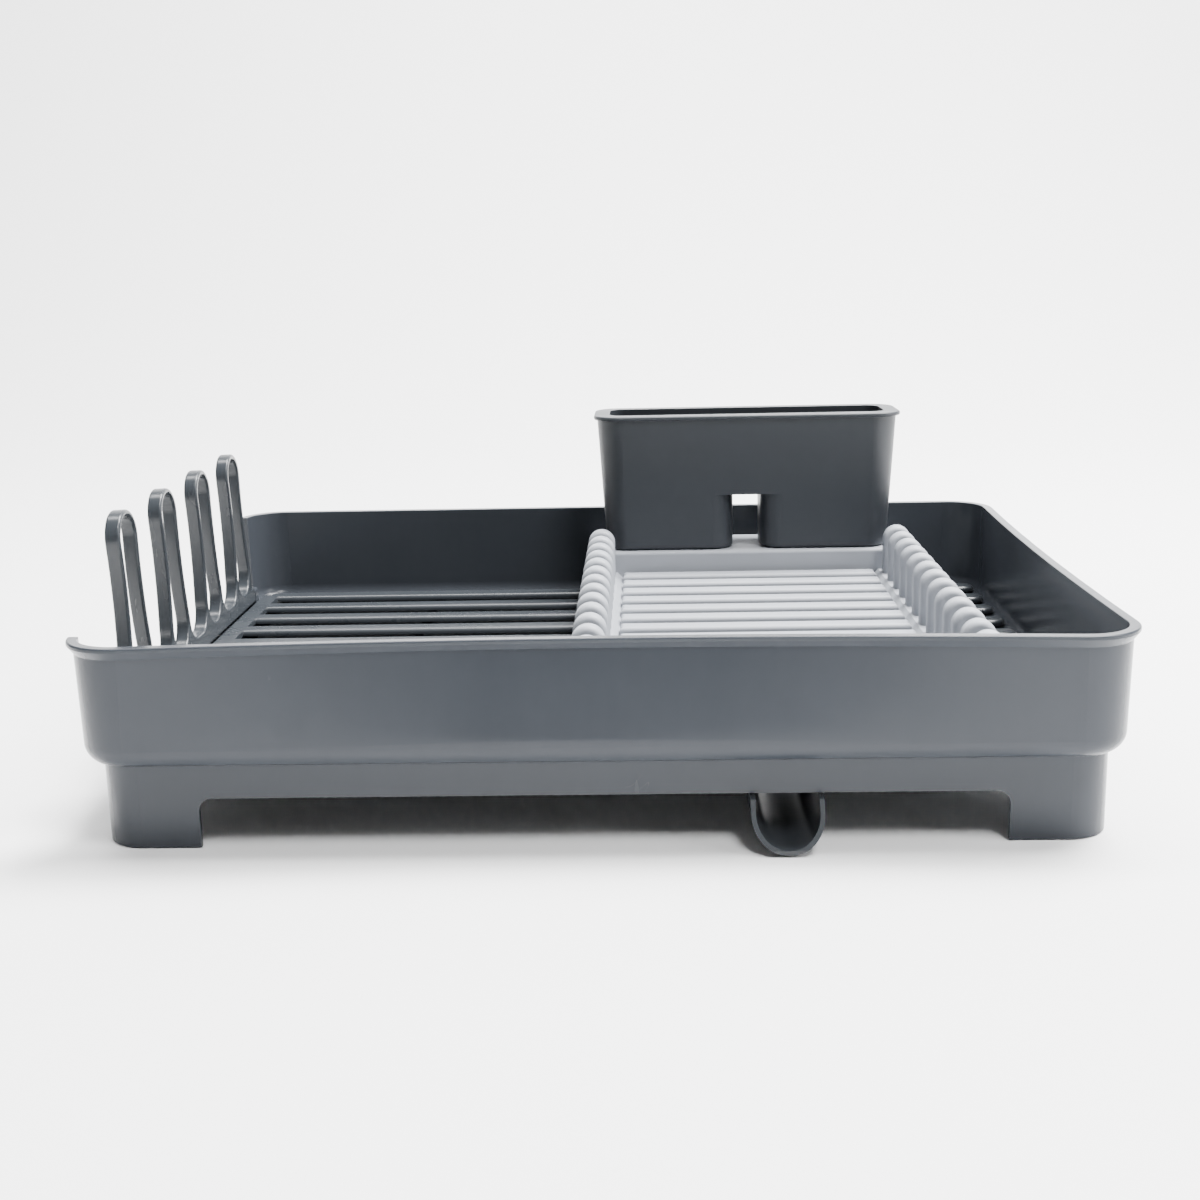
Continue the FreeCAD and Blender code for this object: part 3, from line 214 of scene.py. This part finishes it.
def mixColour(tree, factor, first, second):
    node = tree.nodes.new("ShaderNodeMix")
    node.data_type = "RGBA"
    join(tree, factor, node.inputs["Factor"])
    for socket, value in ((node.inputs["A"], first), (node.inputs["B"], second)):
        if isinstance(value, tuple):
            socket.default_value = value
        else:
            join(tree, value, socket)
    return node.outputs["Result"]


# what all the plastics share: how melt and streaks mix, and what a scratch does to the surface
plasticMix = {"meltShare": 0.45, "streakShare": 0.55, "low": 0.34, "high": 0.66, "sharpness": 0.55,
              "scratchDull": 0.25, "scratchDepth": 0.000004, "refraction": 1.49}


def shade(colour, factor):
    return tuple(min(1.0, channel * factor) for channel in colour) + (1.0,)


def plastic(name, look):
    # melt and streaks vary the colour and gloss; edges get a painted highlight (a brighter colour)
    # and lower roughness
    material = bpy.data.materials.new(name)
    material.use_nodes = True
    tree = material.node_tree
    shader = tree.nodes["Principled BSDF"]
    dark = shade(look["colour"], 1 - look["variation"])
    light = shade(look["colour"], 1 + look["variation"])
    # the brighter colour used both for the painted edge highlight and for the scratches
    sheenAndScratchColour = shade(look["colour"], look["sheenAndScratchLift"])
    grain = place(tree, "grain",
                  {"Grain Scale": look["grainScale"], "Melt Scale": look["meltScale"]})
    flow = place(tree, "flow",
                 {"Stretch": look["streakStretch"], "Sharpness": plasticMix["sharpness"]})
    edge = place(tree, "edge", {"Radius": look["edgeRadius"]})
    scratch = place(tree, "scratch", {"Turn": look["scratchTurn"]})
    uneven = maths(tree, "ADD",
                   maths(tree, "MULTIPLY", grain.outputs["Melt"], plasticMix["meltShare"]),
                   maths(tree, "MULTIPLY", flow.outputs["Streak"], plasticMix["streakShare"]))
    spread = remap(tree, uneven, plasticMix["low"], plasticMix["high"], 0.0, 1.0)
    base = mixColour(tree, spread, dark, light)
    # painted highlight along the edges; the same mask also lowers the roughness
    edgeSheen = maths(tree, "MULTIPLY", edge.outputs["Mask"], look["edgeSheenAmount"])
    scuffed = maths(tree, "MULTIPLY", scratch.outputs["Mask"], look["scratches"])
    marks = maths(tree, "MAXIMUM", edgeSheen, scuffed)
    join(tree, mixColour(tree, marks, base, sheenAndScratchColour), shader.inputs["Base Color"])
    dull = remap(tree, spread, 0.0, 1.0, look["roughness"] - look["glossRange"],
                 look["roughness"] + look["glossRange"])
    polish = maths(tree, "MULTIPLY", edgeSheen, look["wearGloss"])
    smoothed = maths(tree, "SUBTRACT", dull, polish, True)
    dulled = maths(tree, "MULTIPLY", scuffed, plasticMix["scratchDull"])
    join(tree, maths(tree, "ADD", smoothed, dulled, True), shader.inputs["Roughness"])
    height = maths(tree, "ADD",
                   maths(tree, "MULTIPLY", grain.outputs["Grain"], look["grainDepth"]),
                   maths(tree, "MULTIPLY", flow.outputs["Streak"], look["streakDepth"]))
    groove = maths(tree, "MULTIPLY", scuffed, plasticMix["scratchDepth"])
    cut = maths(tree, "SUBTRACT", height, groove)
    bump = add(tree, "ShaderNodeBump", Distance=1.0, Strength=1.0)
    join(tree, cut, bump.inputs["Height"])
    join(tree, bump.outputs["Normal"], shader.inputs["Normal"])
    shader.inputs["IOR"].default_value = plasticMix["refraction"]
    shader.inputs["Specular IOR Level"].default_value = look["specular"]
    shader.inputs["Coat Weight"].default_value = look["coat"]
    shader.inputs["Coat Roughness"].default_value = look["coatRoughness"]
    return material


# in each look, the edge amount and its lift set the painted highlight along the edges; the lift
# also lightens scratches
plasticLooks = {
    "graphiteTub": {
        "colour": (0.035, 0.0392, 0.0465), "variation": 0.05, "roughness": 0.24,
        "glossRange": 0.035, "grainScale": 2400.0, "grainDepth": 0.000006, "meltScale": 11.0,
        "streakStretch": (26.0, 26.0, 3.0), "streakDepth": 0.000012, "edgeRadius": 0.0012,
        "edgeSheenAmount": 0.35, "sheenAndScratchLift": 1.8, "wearGloss": 0.12, "scratches": 0.04,
        "scratchTurn": (0.2, 0.9, 0.5), "specular": 0.22, "coat": 0.0, "coatRoughness": 0.16},
    "graphiteGrid": {
        "colour": (0.029, 0.033, 0.038), "variation": 0.06, "roughness": 0.28, "glossRange": 0.04,
        "grainScale": 2400.0, "grainDepth": 0.000006, "meltScale": 24.0,
        "streakStretch": (5.0, 60.0, 60.0), "streakDepth": 0.000015, "edgeRadius": 0.0008,
        "edgeSheenAmount": 0.12, "sheenAndScratchLift": 1.6, "wearGloss": 0.12, "scratches": 0.06,
        "scratchTurn": (0.4, 0.1, 1.1), "specular": 0.5, "coat": 0.05, "coatRoughness": 0.2},
    "graphiteLoops": {
        "colour": (0.029, 0.033, 0.038), "variation": 0.05, "roughness": 0.26, "glossRange": 0.03,
        "grainScale": 2600.0, "grainDepth": 0.000005, "meltScale": 30.0,
        "streakStretch": (60.0, 60.0, 7.0), "streakDepth": 0.00001, "edgeRadius": 0.0007,
        "edgeSheenAmount": 0.12, "sheenAndScratchLift": 1.6, "wearGloss": 0.1, "scratches": 0.0,
        "scratchTurn": (1.0, 0.3, 0.2), "specular": 0.4, "coat": 0.0, "coatRoughness": 0.15},
    "graphiteHolder": {
        "colour": (0.026, 0.0295, 0.035), "variation": 0.05, "roughness": 0.44,
        "glossRange": 0.04, "grainScale": 1900.0, "grainDepth": 0.000012, "meltScale": 18.0,
        "streakStretch": (9.0, 40.0, 60.0), "streakDepth": 0.00003, "edgeRadius": 0.0012,
        "edgeSheenAmount": 0.4, "sheenAndScratchLift": 1.9, "wearGloss": 0.14, "scratches": 0.08,
        "scratchTurn": (0.1, 0.5, 0.9), "specular": 0.45, "coat": 0.0, "coatRoughness": 0.2},
    "graphiteSpout": {
        "colour": (0.029, 0.033, 0.038), "variation": 0.05, "roughness": 0.32, "glossRange": 0.03,
        "grainScale": 2400.0, "grainDepth": 0.000006, "meltScale": 30.0,
        "streakStretch": (60.0, 8.0, 60.0), "streakDepth": 0.00003, "edgeRadius": 0.0009,
        "edgeSheenAmount": 0.45, "sheenAndScratchLift": 1.8, "wearGloss": 0.12, "scratches": 0.06,
        "scratchTurn": (0.9, 0.2, 0.6), "specular": 0.5, "coat": 0.1, "coatRoughness": 0.16},
    "paleGreyRack": {
        "colour": (0.315, 0.33, 0.36), "variation": 0.03, "roughness": 0.5, "glossRange": 0.04,
        "grainScale": 1700.0, "grainDepth": 0.000014, "meltScale": 20.0,
        "streakStretch": (9.0, 40.0, 40.0), "streakDepth": 0.00003, "edgeRadius": 0.001,
        "edgeSheenAmount": 0.3, "sheenAndScratchLift": 1.15, "wearGloss": 0.15, "scratches": 0.06,
        "scratchTurn": (0.3, 0.2, 0.4), "specular": 0.45, "coat": 0.0, "coatRoughness": 0.2},
    "blackRubber": {
        "colour": (0.028, 0.028, 0.03), "variation": 0.12, "roughness": 0.78, "glossRange": 0.06,
        "grainScale": 1500.0, "grainDepth": 0.00002, "meltScale": 60.0,
        "streakStretch": (40.0, 40.0, 40.0), "streakDepth": 0.00002, "edgeRadius": 0.0006,
        "edgeSheenAmount": 0.5, "sheenAndScratchLift": 2.0, "wearGloss": 0.1, "scratches": 0.3,
        "scratchTurn": (0.5, 0.3, 0.1), "specular": 0.35, "coat": 0.0, "coatRoughness": 0.3},
}
plastics = {name: plastic(name, look) for name, look in plasticLooks.items()}


# drawn wire of the hinge pins

wireLook = {"dark": (0.42, 0.42, 0.43, 1.0), "light": (0.68, 0.68, 0.69, 1.0),
            "stretch": (2600.0, 60.0, 2600.0), "sharpness": 0.7, "edgeRadius": 0.0003,
            "streakLow": 0.3, "streakHigh": 0.7, "smoothest": 0.24, "roughest": 0.42,
            "lineDepth": 0.00002, "lineStrength": 0.6}


def drawnWire(look):
    material = bpy.data.materials.new("drawnWire")
    material.use_nodes = True
    tree = material.node_tree
    shader = tree.nodes["Principled BSDF"]
    flow = place(tree, "flow", {"Stretch": look["stretch"], "Sharpness": look["sharpness"]})
    edge = place(tree, "edge", {"Radius": look["edgeRadius"]})
    streak = flow.outputs["Streak"]
    colour = mixColour(tree, streak, look["dark"], look["light"])
    # the wire's edges are painted lighter: a painted highlight
    join(tree, mixColour(tree, edge.outputs["Mask"], colour, look["light"]),
         shader.inputs["Base Color"])
    join(tree, remap(tree, streak, look["streakLow"], look["streakHigh"], look["smoothest"],
                     look["roughest"]), shader.inputs["Roughness"])
    bump = add(tree, "ShaderNodeBump", Distance=look["lineDepth"], Strength=look["lineStrength"])
    join(tree, streak, bump.inputs["Height"])
    join(tree, bump.outputs["Normal"], shader.inputs["Normal"])
    shader.inputs["Metallic"].default_value = 1.0
    return material


wire = drawnWire(wireLook)

# which finish each CAD node has; the foot pads are replaced further down

nodeFinish = {
    "drip_tub": plastics["graphiteTub"],
    "drainer_grid": plastics["graphiteGrid"],
    "cup_rack": plastics["graphiteLoops"],
    "cup_rack_pin_front": wire,
    "cup_rack_pin_rear": wire,
    "plate_rack": plastics["paleGreyRack"],
    "cutlery_holder": plastics["graphiteHolder"],
    "drain_spout": plastics["graphiteSpout"],
    "spout_retainer": plastics["graphiteSpout"],
    "spout_seal": plastics["blackRubber"],
}
for name, material in nodeFinish.items():
    slots = nodes[name].material_slots
    for slot in slots:
        slot.material = material
    if not slots:
        nodes[name].data.materials.append(material)
print("CAD nodes finished:", len(nodeFinish))


# foot pads: a disc with a softened rim and ring-shaped treads on the underside

padLook = {"treads": 4, "treadDepth": 0.0004, "treadSlope": 0.2, "rimRound": 0.0004,
           "rimSteps": 4, "topEase": 0.3, "turns": 64, "sharpAngle": 38}


def padProfile(radius, bottom, top):
    # reach and height of the pad's outline, from the middle of its underside to the top's middle
    soft, deep = padLook["rimRound"], padLook["treadDepth"]
    ease = soft * padLook["topEase"]
    step = (radius - 2 * soft) / (2 * padLook["treads"])
    slope = step * padLook["treadSlope"]
    profile = [(0.0, bottom)]
    for tread in range(padLook["treads"]):
        inner = step * (2 * tread + 1)
        outer = inner + step
        profile += [(inner - slope, bottom), (inner + slope, bottom + deep),
                    (outer - slope, bottom + deep), (outer + slope, bottom)]
    for k in range(padLook["rimSteps"] + 1):
        angle = math.pi / 2 * k / padLook["rimSteps"]
        profile.append((radius - soft + soft * math.sin(angle),
                        bottom + soft - soft * math.cos(angle)))
    return profile + [(radius, top - soft), (radius - ease, top - ease), (radius - soft, top),
                      (0.0, top)]


def buildFootPad(node):
    low, high = (Vector(corner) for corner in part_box(node))
    centre = (low + high) / 2
    turns = padLook["turns"]
    angles = [2 * math.pi * k / turns for k in range(turns)]
    mesh = bmesh.new()
    rings = []
    for reach, height in padProfile((high.x - low.x) / 2, low.z, high.z):
        if reach == 0.0:
            rings.append([mesh.verts.new((centre.x, centre.y, height))])
            continue
        rings.append([mesh.verts.new((centre.x + reach * math.cos(a),
                                      centre.y + reach * math.sin(a), height)) for a in angles])
    for below, above in zip(rings, rings[1:]):
        for k in range(turns):
            corners = [below[k % len(below)], below[(k + 1) % len(below)],
                       above[(k + 1) % len(above)], above[k % len(above)]]
            mesh.faces.new(list(dict.fromkeys(corners)))  # a ring's middle point comes up twice
    bmesh.ops.recalc_face_normals(mesh, faces=mesh.faces)
    data = bpy.data.meshes.new(node + "_tread")
    mesh.to_mesh(data)
    mesh.free()
    pad = bpy.data.objects.new(node + "_tread", data)
    bpy.context.scene.collection.objects.link(pad)
    data.materials.append(plastics["blackRubber"])
    data.shade_smooth()
    data.set_sharp_from_angle(angle=math.radians(padLook["sharpAngle"]))
    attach(pad, "tub")
    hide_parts(node)


for node in sorted(nodes):
    if node.startswith("foot_pad"):
        buildFootPad(node)
print("foot pads built")


# stage, lights and camera

stageLook = {"colour": (0.94, 0.94, 0.94, 1.0), "roughness": 0.9, "specular": 0.2, "width": 24.0,
             "front": -14.0, "back": 2.2, "height": 4.0, "bend": 1.2, "steps": 16}


def buildStage():
    # a floor that sweeps up into the backdrop
    back, bend = stageLook["back"], stageLook["bend"]
    profile = [(stageLook["front"], 0.0)]
    for k in range(stageLook["steps"] + 1):
        angle = math.pi / 2 * k / stageLook["steps"]
        profile.append((back - bend + bend * math.sin(angle), bend * (1 - math.cos(angle))))
    profile.append((back, stageLook["height"]))
    mesh = bmesh.new()
    half = stageLook["width"] / 2
    rows = [[mesh.verts.new((x, y, z)) for x in (-half, half)] for y, z in profile]
    for near, far in zip(rows, rows[1:]):
        mesh.faces.new((near[0], near[1], far[1], far[0]))
    data = bpy.data.meshes.new("sweep")
    mesh.to_mesh(data)
    mesh.free()
    data.shade_smooth()
    sweep = bpy.data.objects.new("sweep", data)
    bpy.context.scene.collection.objects.link(sweep)
    material = bpy.data.materials.new("studioPaper")
    material.use_nodes = True
    tree = material.node_tree
    shader = tree.nodes["Principled BSDF"]
    shader.inputs["Base Color"].default_value = stageLook["colour"]
    shader.inputs["Roughness"].default_value = stageLook["roughness"]
    shader.inputs["Specular IOR Level"].default_value = stageLook["specular"]
    data.materials.append(material)


# softboxes: where each stands, what it faces, width and length in metres, watts
lightLook = {
    "overhead": {"spot": (0.75, 0.25, 1.9), "aim": (0.0, 0.0, 0.0), "size": (1.1, 1.1),
                 "power": 190.0},
    "rightWindow": {"spot": (1.8, -0.6, 1.0), "aim": (0.1, 0.0, 0.05), "size": (0.9, 0.9),
                    "power": 20.0},
    "frontKey": {"spot": (0.7, -1.2, 2.1), "aim": (0.0, 0.0, 0.05), "size": (0.6, 0.5),
                 "power": 48.0},
    "backdropWash": {"spot": (0.0, 0.5, 2.9), "aim": (0.0, 2.0, 0.6), "size": (3.0, 0.8),
                     "power": 190.0},
}
worldLook = {"colour": (1.0, 1.0, 1.0, 1.0), "strength": 0.2}


def softbox(name, look):
    light = bpy.data.lights.new(name, "AREA")
    light.shape = "RECTANGLE"
    light.size, light.size_y = look["size"]
    light.energy = look["power"]
    box = bpy.data.objects.new(name, light)
    box.location = look["spot"]
    toward = Vector(look["aim"]) - Vector(look["spot"])
    box.rotation_euler = toward.to_track_quat("-Z", "Y").to_euler()
    bpy.context.scene.collection.objects.link(box)


def buildLights():
    world = bpy.data.worlds.new("studio")
    bpy.context.scene.world = world
    world.use_nodes = True
    background = world.node_tree.nodes["Background"]
    background.inputs["Color"].default_value = worldLook["colour"]
    background.inputs["Strength"].default_value = worldLook["strength"]
    for name, look in lightLook.items():
        softbox(name, look)


# place in metres, angles in degrees, lens and sensor in millimetres
cameraLook = {"place": (0.0216, -0.7826, 0.2527), "yaw": -1.847, "pitch": 12.931, "roll": -1.232,
              "lens": 47.13, "sensor": 36.0, "nearest": 0.01}


def buildCamera():
    data = bpy.data.cameras.new("studioCamera")
    data.lens = cameraLook["lens"]
    data.sensor_width = cameraLook["sensor"]
    data.clip_start = cameraLook["nearest"]
    camera = bpy.data.objects.new("studioCamera", data)
    yaw, pitch, roll = (math.radians(cameraLook[key]) for key in ("yaw", "pitch", "roll"))
    camera.matrix_world = (Matrix.Translation(cameraLook["place"])
                           @ Matrix.Rotation(-yaw, 4, "Z")
                           @ Matrix.Rotation(math.pi / 2 - pitch, 4, "X")
                           @ Matrix.Rotation(roll, 4, "Z"))
    bpy.context.scene.collection.objects.link(camera)
    bpy.context.scene.camera = camera


buildStage()
buildLights()
buildCamera()
print("stage, lights and camera set")
